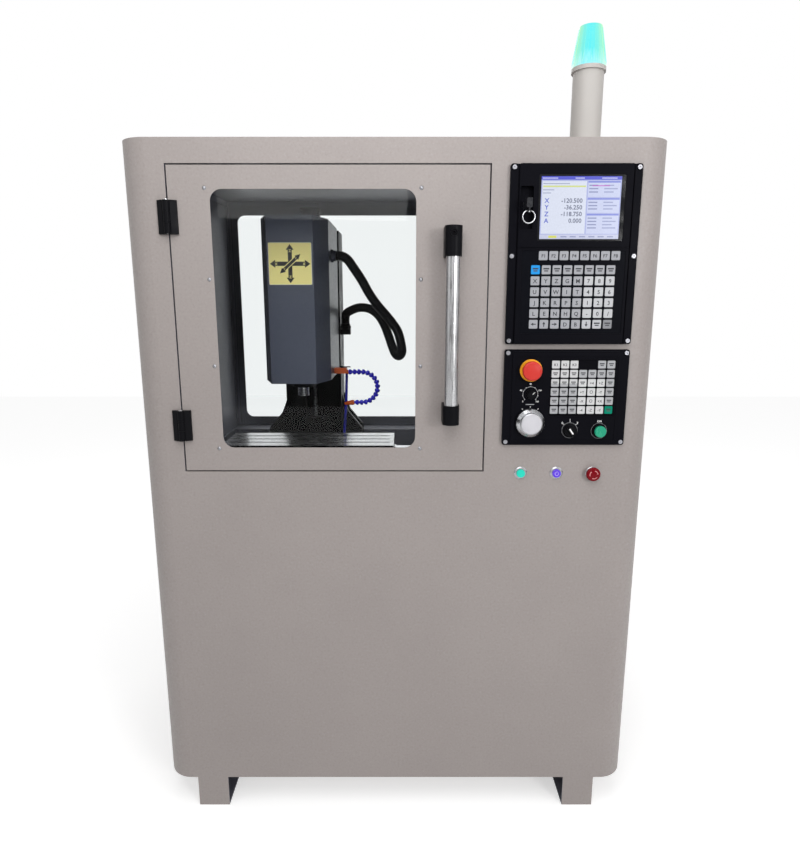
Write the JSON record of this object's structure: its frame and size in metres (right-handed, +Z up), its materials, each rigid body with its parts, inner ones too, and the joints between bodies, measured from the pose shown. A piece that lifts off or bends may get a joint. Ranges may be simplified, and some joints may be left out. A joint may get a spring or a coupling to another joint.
{
  "type": "enclosed mini CNC milling machine",
  "caption": "Enclosed small CNC mill: sheet cabinet on runners, hinged front door with window, controller and operator panels, signal lamp, and a bench-size mill inside.",
  "frame": {"origin": "on the floor under the middle of the bounding box", "axes": "+X to the right, +Y to the back, +Z up; the door and the panels face -Y"},
  "size_m": [1.1, 0.855, 1.747],
  "materials": {
    "paint": "fine texture powder coat",
    "inner_paint": "satin powder coat",
    "clear": "clear sheet",
    "steel": "bright",
    "frame_steel": "satin",
    "black_plastic": "moulded",
    "panel_black": "fine texture",
    "screen": "lit display",
    "keys": "membrane",
    "yellow": "gloss",
    "red": "gloss",
    "dark_red": "gloss",
    "wheel_silver": "turned",
    "chrome": "polished",
    "green": "gloss",
    "cyan": "lit",
    "violet": "lit",
    "lamp_stem": "moulded",
    "lamp_lens": "lit lens",
    "casting": "painted",
    "column_black": "painted",
    "motor": "satin",
    "screw": "ground",
    "table": "ground",
    "head_paint": "satin",
    "orange": "moulded",
    "blue_hose": "moulded",
    "conduit": "ribbed sleeve",
    "supply_blue": "soft tube"
  },
  "bodies": {
    "machine": {"runner_left": "paint", "runner_right": "paint", "base_plate": "paint", "stand_frame": "frame_steel", "front_fascia": "paint", "side_panel_left": "paint", "side_panel_right": "paint", "roof_panel": "paint", "rear_panel": "paint", "rear_window": "clear", "work_floor": "inner_paint", "partition": "inner_paint", "hinge_frame_leaves": "black_plastic", "hinge_pins": "steel", "controller_panel": "panel_black", "lcd_screen": "screen", "controller_keypad": "keys", "usb_stick": "black_plastic", "panel_screws": "steel", "operator_panel": "panel_black", "operator_keypad": "keys", "estop_ring": "yellow", "switch_bezels": "black_plastic", "pilot_bezels": "chrome", "lamp_stem": "lamp_stem", "lamp_lens": "lamp_lens", "mill_base": "casting", "column": "column_black", "axis_motors": "motor", "cable_conduit": "conduit", "coolant_tube": "supply_blue"},
    "door": {"door_panel": "paint", "door_window": "clear", "window_screws": "steel", "handle_tube": "steel", "handle_brackets": "black_plastic", "hinge_door_leaves": "black_plastic"},
    "estop": {"estop_button": "red"},
    "override": {"override_knob": "black_plastic"},
    "handwheel": {"handwheel_dial": "wheel_silver"},
    "mode_selector": {"mode_key": "black_plastic"},
    "start": {"start_button": "green"},
    "cyan_push": {"cyan_button": "cyan"},
    "violet_push": {"violet_button": "violet"},
    "red_push": {"red_button": "dark_red"},
    "z_screw": {"z_ballscrew": "screw"},
    "y_screw": {"y_ballscrew": "screw"},
    "saddle": {"saddle": "casting"},
    "table": {"table": "table", "table_brackets": "table", "x_motor": "steel"},
    "x_screw": {"x_ballscrew": "screw"},
    "head": {"head_casting": "casting", "head_cover": "head_paint", "spindle_motor": "motor", "coolant_block": "orange", "coolant_hose": "blue_hose", "coolant_nozzle": "orange"},
    "spindle": {"spindle": "screw"},
    "valve_lever": {"coolant_lever": "black_plastic"}
  },
  "joints": [
    {"name": "door_hinge", "type": "hinge", "parent": "machine", "child": "door", "pos_m": [-0.4505, -0.38, 1.15], "axis": [0, 0, -1], "range_deg": [0, 110]},
    {"name": "y_axis", "type": "slide", "parent": "machine", "child": "saddle", "axis": [0, 1, 0], "range_m": [-0.06, 0.06]},
    {"name": "x_axis", "type": "slide", "parent": "saddle", "child": "table", "axis": [1, 0, 0], "range_m": [-0.06, 0.11]},
    {"name": "z_axis", "type": "slide", "parent": "machine", "child": "head", "axis": [0, 0, 1], "range_m": [-0.09, 0.09]},
    {"name": "spindle_spin", "type": "hinge", "parent": "head", "child": "spindle", "pos_m": [-0.256, 0.0345, 1], "axis": [0, 0, -1], "continuous": true},
    {"name": "y_screw_spin", "type": "hinge", "parent": "machine", "child": "y_screw", "pos_m": [-0.256, 0.0275, 0.716], "axis": [0, 1, 0], "range_deg": [-4321, 4321]},
    {"name": "x_screw_spin", "type": "hinge", "parent": "table", "child": "x_screw", "pos_m": [-0.256, 0.0375, 0.76595], "axis": [1, 0, 0], "range_deg": [-4321, 7921]},
    {"name": "z_screw_spin", "type": "hinge", "parent": "machine", "child": "z_screw", "pos_m": [-0.256, 0.2675, 1.1], "axis": [0, 0, 1], "range_deg": [-6481, 6481]},
    {"name": "estop_push", "type": "slide", "parent": "machine", "child": "estop", "axis": [0, 1, 0], "range_m": [0, 0.005]},
    {"name": "override_turn", "type": "hinge", "parent": "machine", "child": "override", "pos_m": [0.283, -0.3815, 1.007], "axis": [0, 1, 0], "range_deg": [-135, 135]},
    {"name": "handwheel_spin", "type": "hinge", "parent": "machine", "child": "handwheel", "pos_m": [0.284, -0.3815, 0.947], "axis": [0, 1, 0], "continuous": true},
    {"name": "mode_turn", "type": "hinge", "parent": "machine", "child": "mode_selector", "pos_m": [0.369, -0.3815, 0.93], "axis": [0, 1, 0], "range_deg": [0, 90]},
    {"name": "start_push", "type": "slide", "parent": "machine", "child": "start", "axis": [0, 1, 0], "range_m": [0, 0.003], "stiffness_N_per_m": 1500, "springref_m": -0.0015},
    {"name": "cyan_push", "type": "slide", "parent": "machine", "child": "cyan_push", "axis": [0, 1, 0], "range_m": [0, 0.003], "stiffness_N_per_m": 1500, "springref_m": -0.0015},
    {"name": "violet_push", "type": "slide", "parent": "machine", "child": "violet_push", "axis": [0, 1, 0], "range_m": [0, 0.003], "stiffness_N_per_m": 1500, "springref_m": -0.0015},
    {"name": "red_push", "type": "slide", "parent": "machine", "child": "red_push", "axis": [0, 1, 0], "range_m": [0, 0.003], "stiffness_N_per_m": 1500, "springref_m": -0.0015},
    {"name": "valve_turn", "type": "hinge", "parent": "head", "child": "valve_lever", "pos_m": [-0.151, 0.0575, 1.015], "axis": [0, 0, 1], "range_deg": [0, 90]}
  ],
  "couplings": [
    {"joint": "y_screw_spin", "follows": "y_axis", "rad_per_m": 1256.6},
    {"joint": "x_screw_spin", "follows": "x_axis", "rad_per_m": 1256.6},
    {"joint": "z_screw_spin", "follows": "z_axis", "rad_per_m": 1256.6}
  ]
}
